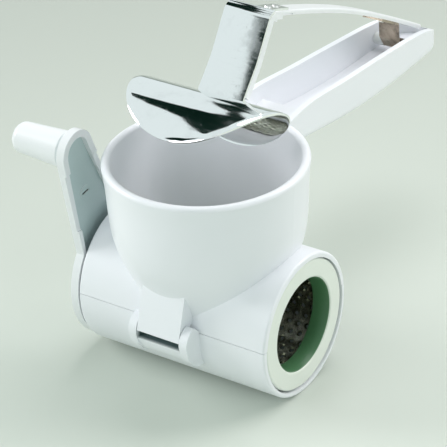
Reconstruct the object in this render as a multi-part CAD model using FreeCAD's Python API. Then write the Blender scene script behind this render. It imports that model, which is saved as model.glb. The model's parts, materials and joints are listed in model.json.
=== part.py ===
import FreeCAD, Part
# Hand-held rotary drum grater with a squeeze lever.
#
# Axes: +X runs along the barrel to its open mouth, +Y runs back along the handle and +Z is up.
# Every sub-part is drawn with the barrel axis on the X axis and the hopper axis at x = 0, y = 0.
# The finished shapes are then raised by AXIS_HEIGHT, so that the base stands on z = 0.
# The pressing lever is drawn shut, with its plate over the drum, and then opened by PRESS_OPEN.
import math
import os

V = FreeCAD.Vector
X_DIR = V(1, 0, 0)
Y_DIR = V(0, 1, 0)
Z_DIR = V(0, 0, 1)

# ---- barrel (all sizes in mm, angles in degrees) ----
BARREL_R = 34.0
BARREL_WALL = 2.6
MOUTH_X = 49.5
CRANK_END_X = -50.5
BARREL_EDGE_ROUND = 1.1
SEAM_Z = 4.0
SEAM_GAP = 0.3
LOWER_RELIEF = 0.4
END_WALL = 2.5
BASE_LAND = 14.0

# ---- hopper: outer radii from the barrel seam to the rim ----
RIM_Z = 73.1
RIM_R = 46.4
RIM_WALL = 4.0
HOPPER_FOOT_R = 33.2
HOPPER_FOOT_WALL = 1.7
HOPPER_TUCK = [(35.3, 14.0), (38.6, 22.0), (42.9, 34.0), (44.9, 52.0)]
HOPPER_WALLS = [2.5, 2.9, 3.3, 3.6]

# ---- front tongue of the upper housing and the latch cheeks of the lower shell ----
TONGUE_HALF = 11.2
TONGUE_TOP_Z = 23.0
TONGUE_TIP_Y = -44.0
TONGUE_TIP_Z = 2.6
TONGUE_BACK_Z = 7.0
CHEEK_GAP = 0.3
CHEEK_THICK = 4.1
CHEEK_TOP = (-37.6, 8.6)
CHEEK_FRONT_Y = -44.0
LEDGE_TOP_Z = -1.7
LEDGE_INSET = 0.9

# ---- rear hinge of the lower shell ----
HINGE_Y = 37.3
HINGE_KNUCKLE_R = 3.1
HINGE_PIN_R = 1.25
HINGE_INNER_HALF = 15.0
HINGE_OUTER_HALF = 27.0
HINGE_SIDE_GAP = 0.3

# ---- rear foot ribs of the lower shell ----
FOOT_RIB_X = 22.0
FOOT_RIB_THICK = 4.0
FOOT_REAR_Y = 30.0
FOOT_TOP_Z = -10.0

# ---- handle channel ----
HANDLE_ROOT_HALF = 16.9
HANDLE_END_HALF = 13.9
HANDLE_WALL = 3.0
HANDLE_FLOOR = 2.5
HANDLE_ROOT_Y = 36.0
HANDLE_END_Y = 176.2
HANDLE_CREST = [(36.0, 72.6), (48.0, 74.0), (60.0, 74.5), (85.0, 71.9), (112.0, 69.0), (140.0, 66.0),
                (162.0, 63.3), (173.0, 61.2), (181.0, 58.4), (187.0, 54.8), (191.6, 50.4)]
HANDLE_BELLY = [(36.0, 61.2), (54.0, 58.6), (78.0, 54.3), (108.0, 50.0), (138.0, 47.8), (166.0, 47.2),
                (180.0, 47.4), (187.0, 48.4), (191.6, 50.4)]
HANDLE_EDGE_ROUND = 3.0
CHANNEL_FRONT_Y = 66.5
DECK_Z = 66.5
NOTCH_HALF = 7.0

# ---- pressing lever ----
PIVOT_Y = 166.0
PIVOT_Z = 55.0
PIVOT_PIN_R = 1.5
SPACER_R = 2.9
PRESS_OPEN = 24.0
LEVER_HALF = 5.0
LEVER_THICK = 2.3
LEVER_TOP = [(33.0, 69.6), (42.0, 70.4), (52.0, 71.0), (63.0, 71.5), (91.0, 72.1), (110.0, 71.7),
             (135.0, 70.0), (160.0, 67.5), (180.0, 65.1)]
LEVER_ROUND = 0.9
MARK_Y = (46.0, 50.5)
MARK_Z = (68.7, 69.3)
STRIP_THICK = 1.2
STRIP_HALF = 11.75
TANG_HALF = 4.3
TANG_CROOK = (31.5, 69.95)
TANG_END = (47.0, 71.03)
ARM_SHOULDER = (20.0, 71.6)
ARM_BACK_THICK = 3.6
ARM_BACK_FIT = 0.02
ARM_KNEE = (15.6, 47.0)
ARM_FOOT_BACK_DEG = 42.0
ARM_FOOT_FRONT_DEG = 72.0
LUG_HALF = 5.4
LUG_START = (137.0, 66.95)
LUG_HEEL = (154.8, 65.17)
LUG_TOE = (158.84, 57.07)
LUG_END = (164.85, 53.18)
LUG_CURL = 1.2
LEVER_RIVET_R = 1.2
LEVER_RIVET_HEAD_R = 2.0
LEVER_RIVET_HEAD = 0.5
LEVER_RIVET_GRIP = 1.5
TANG_RIVETS_Y = (36.5, 43.0)
LUG_RIVET_Y = 145.0

# ---- pressing plate ----
DRUM_GAP = 2.2
PLATE_THICK = 1.0
PLATE_HALF_X = 36.2
PLATE_HALF_DEG = 71.0
PLATE_LEAN_DEG = 3.0
RIVET_R = 1.6
RIVET_HEAD_R = 2.9
RIVET_HEAD = 0.9
RIVET_X = 6.5
RIVET_DEG = 55.0

# ---- drum ----
DRUM_R = 29.0
SHEET_THICK = 0.6
RING_FACE_RECESS = 0.5
RING_FACE_THICK = 5.5
RING_HOLE_R = 22.1
RING_FACE_GAP = 0.55
RING_SKIRT_LENGTH = 5.0
RING_LAND_LENGTH = 7.0
RUNNING_FIT = 0.05
SEAT_FIT = 0.03
HOLE_ROWS = 12
HOLES_ROUND = 17
BLANK_HOLES = 2
HOLE_HALF = 1.9
TOOTH_RISE = 0.85
TOOTH_LENGTH = 2.6
SEAM_STRIP_WIDTH = 9.0

# ---- drum hub, crank and grip ----
JOURNAL_R = 9.0
BUSH_WALL = 1.95
BUSH_FLANGE_R = 12.6
BUSH_FLANGE = 0.9
HUB_THICK = 3.0
HUB_FLANGE_R = 30.2
HUB_FLANGE = 1.5
END_PLAY = 0.5
DRIVE_SQUARE = 10.0
DRIVE_FIT = 0.15
SCREW_R = 2.0
SCREW_HEAD_R = 3.8
SCREW_HEAD = 2.4
SCREW_LENGTH = 11.0
WASHER_R = 5.4
WASHER_THICK = 0.8
HOLE_FIT = 0.2
CRANK_GAP = 1.2
CRANK_THICK = 4.1
CRANK_FLOOR = 1.6
CRANK_DISC_R = 33.0
CRANK_RIM = 2.0
CRANK_TIP_RIM = 3.4
CRANK_TIP_R = 10.8
CRANK_REACH = 76.0
CRANK_LEAN = 18.8
CRANK_LEFT_ROOT_DEG = 143.3
CRANK_RIGHT_ROOT_DEG = 85.0
CRANK_STEP = [(-32.8, 64.4), (-12.5, 66.3)]
CRANK_STEP_DEPTH = 0.9
CRANK_MARK_AT = (-18.8, 48.6)
CRANK_MARK_R = 3.4
CRANK_MARK_SLOT = 4.6
CRANK_MARK_TURN = 6.0
SPINDLE_R = 2.5
SPINDLE_HEAD_R = 3.3
SPINDLE_HEAD = 2.0
SPINDLE_LENGTH = 24.0
COLLAR_R = 8.4
COLLAR = 1.4
GRIP_GAP = 0.3
GRIP_LENGTH = 28.4
GRIP_ROOT_R = 8.6
GRIP_WAIST_R = 7.9
GRIP_END_R = 7.3

# ---- what follows from the sizes above ----
AXIS_HEIGHT = math.sqrt(BARREL_R ** 2 - (BASE_LAND / 2) ** 2)
BORE_R = BARREL_R - BARREL_WALL
LOWER_BORE_R = BORE_R + LOWER_RELIEF
PLATE_IN_R = DRUM_R + DRUM_GAP
PLATE_OUT_R = PLATE_IN_R + PLATE_THICK
SHEET_IN_R = DRUM_R - SHEET_THICK
RING_FACE_X = MOUTH_X - RING_FACE_RECESS
SHEET_MOUTH_X = RING_FACE_X - RING_FACE_THICK
HUB_OUTER_X = CRANK_END_X + END_WALL + BUSH_FLANGE + END_PLAY
SHEET_HUB_X = HUB_OUTER_X + HUB_FLANGE
HUB_INNER_X = HUB_OUTER_X + HUB_THICK
CRANK_INNER_X = CRANK_END_X - CRANK_GAP
CRANK_OUTER_X = CRANK_INNER_X - CRANK_THICK
CRANK_FLOOR_X = CRANK_OUTER_X + CRANK_FLOOR
TIP_Y = -CRANK_REACH * math.sin(math.radians(CRANK_LEAN))
TIP_Z = CRANK_REACH * math.cos(math.radians(CRANK_LEAN))
CHEEK_IN = TONGUE_HALF + CHEEK_GAP
CHEEK_OUT = CHEEK_IN + CHEEK_THICK
BIG = 300.0


# ---- small helpers ----
def box(x0, x1, y0, y1, z0, z1):
    """Block between two corners."""
    return Part.makeBox(x1 - x0, y1 - y0, z1 - z0, V(x0, y0, z0))


def rod_x(radius, x0, x1, y=0.0, z=0.0):
    """Cylinder along X, with its axis at y, z."""
    return Part.makeCylinder(radius, x1 - x0, V(x0, y, z), X_DIR)


def ring_x(r_out, r_in, x0, x1, y=0.0, z=0.0):
    """Tube along X."""
    return rod_x(r_out, x0, x1, y, z).cut(rod_x(r_in, x0 - 1, x1 + 1, y, z))


def side_plate(edges, x0, x1):
    """Solid from a closed outline in the YZ plane, between x0 and x1."""
    face = Part.Face(Part.Wire(edges))
    face.translate(V(x0, 0, 0))
    return face.extrude(V(x1 - x0, 0, 0))


def yz(point, x=0.0):
    return V(x, point[0], point[1])


def yz_polygon(points):
    """Straight edges through points of the YZ plane, closed."""
    loop = list(points) + [points[0]]
    return [Part.LineSegment(yz(a), yz(b)).toShape() for a, b in zip(loop, loop[1:])]


def line(a, b):
    return Part.LineSegment(a, b).toShape()


def arc(a, mid, b):
    return Part.Arc(a, mid, b).toShape()


def curve(points):
    """Smooth edge through a few points."""
    spline = Part.BSplineCurve()
    spline.interpolate(points)
    return spline.toShape()


def on_circle(radius, degrees):
    """Point of the YZ plane on a circle about the barrel axis, from +Y towards +Z."""
    angle = math.radians(degrees)
    return V(0, radius * math.cos(angle), radius * math.sin(angle))


def above(z):
    return box(-BIG, BIG, -BIG, BIG, z, BIG)


def below(z):
    return box(-BIG, BIG, -BIG, BIG, -BIG, z)


def revolved(edges):
    """Solid of revolution about Z from a closed outline in the XZ plane."""
    return Part.Face(Part.Wire(edges)).revolve(V(0, 0, 0), Z_DIR, 360)


# ---- upper housing ----
def hopper_curve(foot_wall, walls, rim_wall):
    """Side of the hopper from seam to rim, moved in by the wall at each height."""
    points = [V(HOPPER_FOOT_R - foot_wall, 0, SEAM_Z)]
    points += [V(radius - wall, 0, z) for (radius, z), wall in zip(HOPPER_TUCK, walls)]
    points.append(V(RIM_R - rim_wall, 0, RIM_Z - RIM_WALL / 2))
    return points


def hopper_body():
    side = hopper_curve(0, [0] * len(HOPPER_TUCK), 0)
    rim = RIM_WALL / 2
    corner = rim * math.sqrt(0.5)
    top = V(RIM_R - rim, 0, RIM_Z)
    rim_mid = V(RIM_R - rim + corner, 0, RIM_Z - rim + corner)
    edges = [line(V(0, 0, SEAM_Z), side[0]), curve(side), arc(side[-1], rim_mid, top)]
    edges += [line(top, V(0, 0, RIM_Z)), line(V(0, 0, RIM_Z), V(0, 0, SEAM_Z))]
    return revolved(edges)


def hopper_cavity():
    side = hopper_curve(HOPPER_FOOT_WALL, HOPPER_WALLS, RIM_WALL)
    rim = RIM_WALL / 2
    corner = rim * math.sqrt(0.5)
    lip = V(RIM_R - rim, 0, RIM_Z)
    lip_mid = V(RIM_R - rim - corner, 0, RIM_Z - rim + corner)
    high = RIM_Z + 10
    edges = [line(V(0, 0, SEAM_Z), side[0]), curve(side), arc(side[-1], lip_mid, lip)]
    edges += [line(lip, V(lip.x, 0, high)), line(V(lip.x, 0, high), V(0, 0, high))]
    edges.append(line(V(0, 0, high), V(0, 0, SEAM_Z)))
    return revolved(edges)


def barrel_body():
    """Whole barrel with rounded ends, before it is split at the seam."""
    body = rod_x(BARREL_R, CRANK_END_X, MOUTH_X)
    rims = [edge for edge in body.Edges if edge.Curve.TypeId == "Part::GeomCircle"]
    return body.makeFillet(BARREL_EDGE_ROUND, rims)


def tongue():
    """Flared front tongue that carries the hopper wall down over the seam."""
    hopper_y = -HOPPER_TUCK[1][0]
    inside_y = -BORE_R
    points = [(inside_y, TONGUE_TOP_Z + 1), (hopper_y + 1.2, TONGUE_TOP_Z), (TONGUE_TIP_Y, TONGUE_TIP_Z)]
    points += [(TONGUE_TIP_Y + 1.6, TONGUE_TIP_Z - 0.6), (-BARREL_R, TONGUE_BACK_Z)]
    points.append((inside_y, TONGUE_BACK_Z))
    return side_plate(yz_polygon(points), -TONGUE_HALF, TONGUE_HALF)


def handle_half_at(y):
    """Half the width of the handle, which narrows evenly up to the round far end."""
    share = (y - HANDLE_ROOT_Y) / (HANDLE_END_Y - HANDLE_ROOT_Y)
    return HANDLE_ROOT_HALF + (HANDLE_END_HALF - HANDLE_ROOT_HALF) * share


def handle_side():
    """Side view of the handle: a long belly, a falling crest and a blunt nose."""
    belly = [yz(point) for point in HANDLE_BELLY]
    crest = [yz(point) for point in HANDLE_CREST]
    edges = [curve(belly), curve(crest[::-1]), line(crest[0], belly[0])]
    return side_plate(edges, -BIG / 10, BIG / 10)


def channel_side():
    """Side view of the channel: its floor follows the belly and its top is open."""
    floor = [yz((y, z + HANDLE_FLOOR)) for y, z in HANDLE_BELLY]
    high_first = V(0, floor[0].y, RIM_Z + 20)
    high_last = V(0, floor[-1].y, RIM_Z + 20)
    edges = [curve(floor), line(floor[-1], high_last), line(high_last, high_first)]
    edges.append(line(high_first, floor[0]))
    return side_plate(edges, -BIG / 10, BIG / 10)


def handle_plan(inset, front_y):
    """Plan view of the handle: it tapers to a round far end."""
    root = handle_half_at(front_y) - inset
    end = HANDLE_END_HALF - inset
    far = V(0, HANDLE_END_Y + end, 0)
    edges = [line(V(-root, front_y, 0), V(root, front_y, 0))]
    edges.append(line(V(root, front_y, 0), V(end, HANDLE_END_Y, 0)))
    edges.append(arc(V(end, HANDLE_END_Y, 0), far, V(-end, HANDLE_END_Y, 0)))
    edges.append(line(V(-end, HANDLE_END_Y, 0), V(-root, front_y, 0)))
    return Part.Face(Part.Wire(edges)).extrude(V(0, 0, BIG))


def is_belly_edge(edge):
    """True for the long lower edges of the handle, round to its nose."""
    low = edge.BoundBox.ZMax < HANDLE_BELLY[0][1] + 0.5
    across = edge.BoundBox.YLength < 0.1
    return low and not across and edge.BoundBox.ZMin < HANDLE_BELLY[-1][1] - 0.05


def handle_body():
    body = handle_side().common(handle_plan(0, HANDLE_ROOT_Y))
    return body.makeFillet(HANDLE_EDGE_ROUND, [edge for edge in body.Edges if is_belly_edge(edge)])


def handle_cuts():
    channel = channel_side().common(handle_plan(HANDLE_WALL, CHANNEL_FRONT_Y))
    deck = handle_plan(HANDLE_WALL, RIM_R - 12).common(box(-BIG, BIG, 0, CHANNEL_FRONT_Y + 1, DECK_Z, BIG))
    deck = deck.cut(Part.makeCylinder(RIM_R, BIG, V(0, 0, 0), Z_DIR))
    notch = box(-NOTCH_HALF, NOTCH_HALF, RIM_R - 14, RIM_R + 4, DECK_Z, BIG / 2)
    core_half = HANDLE_END_HALF - HANDLE_WALL
    core = box(-core_half, core_half, RIM_R + 2.5, CHANNEL_FRONT_Y - HANDLE_WALL, 0, DECK_Z - HANDLE_WALL)
    return [channel, deck, notch, core]


def hinge_knuckles(x0, x1, web_z0, web_z1):
    """Hinge barrel and its web, from x0 to x1, at the rear of a shell."""
    knuckle = rod_x(HINGE_KNUCKLE_R, x0, x1, HINGE_Y, SEAM_Z)
    web = box(x0, x1, BARREL_R - BARREL_WALL / 2, HINGE_Y, web_z0, web_z1)
    return knuckle.fuse(web)


def upper_housing():
    barrel = barrel_body().common(above(SEAM_Z))
    body = barrel.fuse([hopper_body(), tongue(), handle_body()])
    cuts = [rod_x(BORE_R, CRANK_END_X + END_WALL, MOUTH_X + 1), hopper_cavity()]
    cuts.append(rod_x(JOURNAL_R + RUNNING_FIT + BUSH_WALL, CRANK_END_X - 1, MOUTH_X))
    body = body.cut(cuts + handle_cuts())
    gap = HINGE_INNER_HALF + HINGE_SIDE_GAP
    webs = []
    for x0, x1 in ((-HINGE_OUTER_HALF, -gap), (gap, HINGE_OUTER_HALF)):
        webs.append(hinge_knuckles(x0, x1, SEAM_Z, SEAM_Z + HINGE_KNUCKLE_R))
    body = body.fuse(webs).removeSplitter()
    body = body.cut(rod_x(HINGE_PIN_R + RUNNING_FIT, -BIG, BIG, HINGE_Y, SEAM_Z))
    pin_x0, pin_x1 = pivot_pin_ends()
    return body.cut(rod_x(PIVOT_PIN_R, pin_x0 - 5, pin_x1, PIVOT_Y, PIVOT_Z))


# ---- lower shell ----
def cheek_outline(inset):
    """D-shaped side view of a latch cheek, closed through the barrel wall."""
    top = V(0, CHEEK_TOP[0] + inset, CHEEK_TOP[1] - inset)
    front = V(0, CHEEK_FRONT_Y + inset, -0.8)
    heel = V(0, -31.2 + inset, -13.6)
    root_low = V(0, -LOWER_BORE_R + 1.4, -13.6)
    root_top = V(0, -BARREL_R + 1.2, SEAM_Z - SEAM_GAP)
    edges = [line(root_top, top), arc(top, V(0, CHEEK_FRONT_Y + 0.7 + inset, 5.2), front)]
    edges += [arc(front, V(0, CHEEK_FRONT_Y + 3.2 + inset, -8.4), heel), line(heel, root_low)]
    edges.append(line(root_low, root_top))
    return edges


def latch_cheeks():
    cheeks = []
    for x0, x1 in ((-CHEEK_OUT, -CHEEK_IN), (CHEEK_IN, CHEEK_OUT)):
        cheeks.append(side_plate(cheek_outline(0), x0, x1))
    ledge = side_plate(cheek_outline(LEDGE_INSET), -CHEEK_IN, CHEEK_IN).common(below(LEDGE_TOP_Z))
    return cheeks + [ledge]


def foot_ribs():
    low = -AXIS_HEIGHT
    points = [(BASE_LAND / 2 - 1, low), (FOOT_REAR_Y - 2, low), (FOOT_REAR_Y, low + 2)]
    points += [(BARREL_R - 1.2, FOOT_TOP_Z), (0, FOOT_TOP_Z)]
    ribs = []
    for x in (-FOOT_RIB_X, FOOT_RIB_X):
        ribs.append(side_plate(yz_polygon(points), x - FOOT_RIB_THICK / 2, x + FOOT_RIB_THICK / 2))
    return ribs


def lower_shell():
    top = SEAM_Z - SEAM_GAP
    body = barrel_body().common(below(top))
    body = body.fuse(foot_ribs() + latch_cheeks())
    body = body.fuse(hinge_knuckles(-HINGE_INNER_HALF, HINGE_INNER_HALF, 1.2, top))
    bush = JOURNAL_R + RUNNING_FIT + BUSH_WALL + LOWER_RELIEF
    cuts = [rod_x(LOWER_BORE_R, CRANK_END_X + END_WALL, MOUTH_X + 1), rod_x(bush, CRANK_END_X - 1, MOUTH_X)]
    cuts.append(box(CRANK_END_X - 1, MOUTH_X, -bush, bush, 0, SEAM_Z))
    cuts.append(below(-AXIS_HEIGHT))
    shadow = BARREL_R + SEAM_GAP
    over_seam = rod_x(shadow, CRANK_END_X, MOUTH_X).common(above(top))
    hinge_hole = rod_x(HINGE_PIN_R + RUNNING_FIT, -BIG, BIG, HINGE_Y, SEAM_Z)
    return body.cut(cuts + [over_seam, hinge_hole]).removeSplitter()


# ---- drum ----
def hole_places():
    """Rows along the drum and angles round it, each row half a pitch on from the last."""
    first = SHEET_HUB_X + 6.0
    last = SHEET_MOUTH_X - 6.0
    pitch_x = (last - first) / (HOLE_ROWS - 1)
    pitch_deg = 360.0 / (HOLES_ROUND + BLANK_HOLES)
    for row in range(HOLE_ROWS):
        for step in range(HOLES_ROUND):
            turn = (step + 0.5 * (row % 2) + 0.25) * pitch_deg
            yield first + row * pitch_x, turn


def placed_round_drum(shape, x, turn):
    """Copy of a shape drawn at the top of the drum, moved along and turned round it."""
    copy = shape.copy()
    copy.rotate(V(0, 0, 0), X_DIR, turn)
    copy.translate(V(x, 0, 0))
    return copy


def drum_sheet():
    """Rolled sheet with four-sided punched holes, each with a raised cutting lip."""
    sheet = ring_x(DRUM_R, SHEET_IN_R, SHEET_HUB_X, SHEET_MOUTH_X)
    low = SHEET_IN_R - 1
    outline = [V(-HOLE_HALF, 0, low), V(0, -HOLE_HALF, low), V(HOLE_HALF, 0, low), V(0, HOLE_HALF, low)]
    hole = Part.Face(Part.makePolygon(outline + outline[:1])).extrude(V(0, 0, 4))
    root = DRUM_R - SHEET_THICK / 2
    lip_edge = V(0, HOLE_HALF, DRUM_R + TOOTH_RISE)
    left = V(-HOLE_HALF, 0.2, root)
    right = V(HOLE_HALF, 0.2, root)
    back = V(0, HOLE_HALF + TOOTH_LENGTH, root)
    faces = [Part.Face(Part.makePolygon(list(loop) + [loop[0]])) for loop in (
        (left, back, right), (left, lip_edge, back), (right, back, lip_edge), (left, right, lip_edge))]
    lip = Part.makeSolid(Part.makeShell(faces))
    places = list(hole_places())
    lips = [placed_round_drum(lip, x, turn) for x, turn in places]
    holes = [placed_round_drum(hole, x, turn) for x, turn in places]
    return sheet.fuse(lips).cut(holes)


def seam_strip():
    """Strip that closes the butt joint of the sheet, inside the blank sector."""
    strip = ring_x(SHEET_IN_R - SEAT_FIT, SHEET_IN_R - SHEET_THICK, HUB_INNER_X + 1, SHEET_MOUTH_X - 1)
    half = SEAM_STRIP_WIDTH / 2
    strip = strip.common(box(-BIG, BIG, -half, half, 0, BIG))
    blank_middle = -0.5 * 360.0 / (HOLES_ROUND + BLANK_HOLES)
    strip.rotate(V(0, 0, 0), X_DIR, blank_middle)
    return strip


def mouth_ring():
    """End ring: a wide flat face with a round hole, and a skirt that holds the sheet."""
    land_end = SHEET_MOUTH_X - RING_SKIRT_LENGTH
    ring = ring_x(BORE_R - RING_FACE_GAP, RING_HOLE_R, SHEET_MOUTH_X, RING_FACE_X)
    face_edges = [edge for edge in ring.Edges if edge.BoundBox.XMin > RING_FACE_X - 0.1]
    ring = ring.makeFillet(0.9, face_edges)
    land = ring_x(BORE_R - RUNNING_FIT, DRUM_R + SEAT_FIT, land_end, SHEET_MOUTH_X)
    collar = ring_x(BORE_R - RUNNING_FIT, RING_HOLE_R + 4, SHEET_MOUTH_X, land_end + RING_LAND_LENGTH)
    return ring.fuse([land, collar]).removeSplitter()


def drum_hub():
    """Closed end of the drum: disc, flange, journal and square socket."""
    disc = rod_x(SHEET_IN_R - SEAT_FIT, HUB_OUTER_X, HUB_INNER_X)
    flange = rod_x(HUB_FLANGE_R, HUB_OUTER_X, SHEET_HUB_X)
    journal = rod_x(JOURNAL_R, CRANK_END_X - CRANK_GAP / 2, HUB_OUTER_X)
    half = DRIVE_SQUARE / 2
    socket = box(CRANK_END_X - 5, HUB_OUTER_X, -half, half, -half, half)
    hole = rod_x(SCREW_R + HOLE_FIT, CRANK_END_X - 5, HUB_INNER_X + 1)
    return disc.fuse([flange, journal]).cut([socket, hole]).removeSplitter()


def crank_bush():
    r_out = JOURNAL_R + RUNNING_FIT + BUSH_WALL - SEAT_FIT
    inner_x = CRANK_END_X + END_WALL
    body = rod_x(r_out, CRANK_END_X, inner_x).fuse(rod_x(BUSH_FLANGE_R, inner_x, inner_x + BUSH_FLANGE))
    return body.cut(rod_x(JOURNAL_R + RUNNING_FIT, CRANK_END_X - 1, MOUTH_X)).removeSplitter()


def hub_screw():
    head_x = HUB_INNER_X + WASHER_THICK
    head = rod_x(SCREW_HEAD_R, head_x, head_x + SCREW_HEAD)
    top = [e for e in head.Edges if e.BoundBox.XMin > head_x + SCREW_HEAD - 0.1 and e.BoundBox.YLength > 1]
    head = head.makeFillet(0.9, top)
    slot_half = 0.5
    slot = box(head_x + SCREW_HEAD - 1.1, head_x + SCREW_HEAD + 1, -slot_half, slot_half, -BIG, BIG)
    return head.cut(slot).fuse(rod_x(SCREW_R, head_x - SCREW_LENGTH, head_x)).removeSplitter()


def hub_washer():
    return ring_x(WASHER_R, SCREW_R + HOLE_FIT, HUB_INNER_X, HUB_INNER_X + WASHER_THICK)


# ---- crank and grip ----
def crank_outline(inset, tip_inset):
    """Teardrop outline of the crank: disc, two flanks and a round tip."""
    disc = CRANK_DISC_R - inset
    tip = CRANK_TIP_R - tip_inset
    left = on_circle(disc, CRANK_LEFT_ROOT_DEG - 0.9 * inset)
    right = on_circle(disc, CRANK_RIGHT_ROOT_DEG + 0.9 * inset)
    lean = math.radians(CRANK_LEAN - 8)
    centre = V(0, TIP_Y, TIP_Z)
    side = V(0, math.cos(lean), math.sin(lean)) * tip
    up = V(0, -math.sin(lean), math.cos(lean)) * tip
    edges = [arc(left, on_circle(disc, 270), right), line(right, centre + side)]
    edges += [arc(centre + side, centre + up, centre - side), line(centre - side, left)]
    return edges


def crank_arm():
    body = side_plate(crank_outline(0, 0), CRANK_OUTER_X, CRANK_INNER_X)
    dish = side_plate(crank_outline(CRANK_RIM, CRANK_TIP_RIM), CRANK_FLOOR_X, CRANK_INNER_X + 1)
    body = body.cut(dish)
    collar = rod_x(COLLAR_R, CRANK_OUTER_X - COLLAR, CRANK_OUTER_X, TIP_Y, TIP_Z)
    half = DRIVE_SQUARE / 2 - DRIVE_FIT
    drive = box(CRANK_FLOOR_X - 0.1, HUB_OUTER_X - 0.4, -half, half, -half, half)
    neck = rod_x(JOURNAL_R, CRANK_FLOOR_X - 0.1, CRANK_END_X - CRANK_GAP / 2 - 0.1)
    mark_y, mark_z = CRANK_MARK_AT
    mark = rod_x(CRANK_MARK_R, CRANK_FLOOR_X - 0.1, CRANK_FLOOR_X + 0.3, mark_y, mark_z)
    slot = box(CRANK_FLOOR_X - 0.9, CRANK_INNER_X, -CRANK_MARK_SLOT / 2, CRANK_MARK_SLOT / 2, -0.5, 0.5)
    slot.rotate(V(0, 0, 0), X_DIR, CRANK_MARK_TURN)
    slot.translate(V(0, mark_y, mark_z))
    (left_y, left_z), (right_y, right_z) = CRANK_STEP
    rise = (right_z - left_z) / (right_y - left_y)
    below_step = [(-BIG, left_z + rise * (-BIG - left_y)), (BIG, right_z + rise * (BIG - right_y))]
    below_step += [(BIG, CRANK_DISC_R), (-BIG, CRANK_DISC_R)]
    step = side_plate(yz_polygon(below_step), CRANK_INNER_X - CRANK_STEP_DEPTH, CRANK_INNER_X + 1)
    body = body.fuse([collar, drive, neck, mark]).removeSplitter()
    tip_hole = rod_x(SPINDLE_R, CRANK_OUTER_X - COLLAR - 1, CRANK_FLOOR_X - 0.8, TIP_Y, TIP_Z)
    screw_x0 = HUB_INNER_X + WASHER_THICK - SCREW_LENGTH - 0.5
    return body.cut([slot, step, tip_hole, rod_x(SCREW_R + SEAT_FIT, screw_x0, MOUTH_X)])


def grip_spindle():
    x1 = CRANK_FLOOR_X - 0.8
    x0 = x1 - SPINDLE_LENGTH
    pin = rod_x(SPINDLE_R, x0, x1, TIP_Y, TIP_Z)
    return pin.fuse(rod_x(SPINDLE_HEAD_R, x0 - SPINDLE_HEAD, x0, TIP_Y, TIP_Z)).removeSplitter()


def grip():
    """Turned grip with a full-round end and a stepped blind bore."""
    x0 = CRANK_OUTER_X - COLLAR - GRIP_GAP
    end = GRIP_END_R
    length = GRIP_LENGTH
    side = [V(0.8, GRIP_ROOT_R, 0), V(length * 0.45, GRIP_WAIST_R, 0), V(length - 4.2, end, 0)]
    shoulder = V(length - 0.6, end - 3.4, 0)
    edges = [line(V(0, 0, 0), V(0, GRIP_ROOT_R - 0.8, 0)), line(V(0, GRIP_ROOT_R - 0.8, 0), side[0])]
    edges += [curve(side), arc(side[-1], V(length - 1.9, end - 1.2, 0), shoulder)]
    edges += [line(shoulder, V(length, 0, 0)), line(V(length, 0, 0), V(0, 0, 0))]
    body = Part.Face(Part.Wire(edges)).revolve(V(0, 0, 0), X_DIR, 360)
    body.rotate(V(0, 0, 0), Z_DIR, 180)
    body.translate(V(x0, TIP_Y, TIP_Z))
    pin_end = CRANK_FLOOR_X - 0.8 - SPINDLE_LENGTH
    bore = rod_x(SPINDLE_R + RUNNING_FIT, pin_end, x0 + 1, TIP_Y, TIP_Z)
    pocket = rod_x(SPINDLE_HEAD_R + 0.3, pin_end - SPINDLE_HEAD - 0.4, pin_end + 0.4, TIP_Y, TIP_Z)
    return body.cut([bore, pocket])


# ---- pressing lever, drawn shut ----
def lever_bar():
    """Shallow curved bar, rounded along its two top edges."""
    top = [yz(point) for point in LEVER_TOP]
    low = [yz((y, z - LEVER_THICK)) for y, z in LEVER_TOP]
    edges = [curve(top), line(top[-1], low[-1]), curve(low[::-1]), line(low[0], top[0])]
    bar = side_plate(edges, -LEVER_HALF, LEVER_HALF)
    middle_z = LEVER_TOP[3][1] - LEVER_THICK / 2
    top_edges = [e for e in bar.Edges if e.BoundBox.YLength > 60 and e.BoundBox.ZMax > middle_z + 0.5]
    return bar.makeFillet(LEVER_ROUND, top_edges)


def slope_normal(a, b):
    """Unit normal, pointing up, of the straight run from a to b in the YZ plane."""
    run = (yz(b) - yz(a)).normalize()
    return V(0, -run.z, run.y)


def height_on(a, b, y):
    """Height at y of the straight line through a and b."""
    return a[1] + (b[1] - a[1]) * (y - a[0]) / (b[0] - a[0])


def seat_cut(a, b, y0, y1, side):
    """Block that trims the lever flat along one face of a strip whose middle runs from a to b."""
    offset = side * STRIP_THICK / 2
    points = [(y0, height_on(a, b, y0) - offset), (y1, height_on(a, b, y1) - offset)]
    points += [(y1, points[1][1] + side * 8), (y0, points[0][1] + side * 8)]
    return side_plate(yz_polygon(points), -2 * LEVER_HALF, 2 * LEVER_HALF)


def lever_root():
    """Moulded backing behind the steel arm, down to the plate, as wide as the arm."""
    near = -STRIP_THICK / 2 - ARM_BACK_FIT
    path = arm_path((LEVER_TOP[1][0], height_on(TANG_CROOK, TANG_END, LEVER_TOP[1][0])))
    backing = swept_strip(path, STRIP_HALF, near, near - ARM_BACK_THICK)
    plan = narrowing_plan(ARM_SHOULDER[0] + 6.0, ARM_SHOULDER[0] + 13.5, LEVER_HALF)
    foot_r = PLATE_OUT_R + STRIP_THICK + RIVET_HEAD + 0.3
    return backing.common(plan).cut(rod_x(foot_r, -BIG, BIG))


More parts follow.
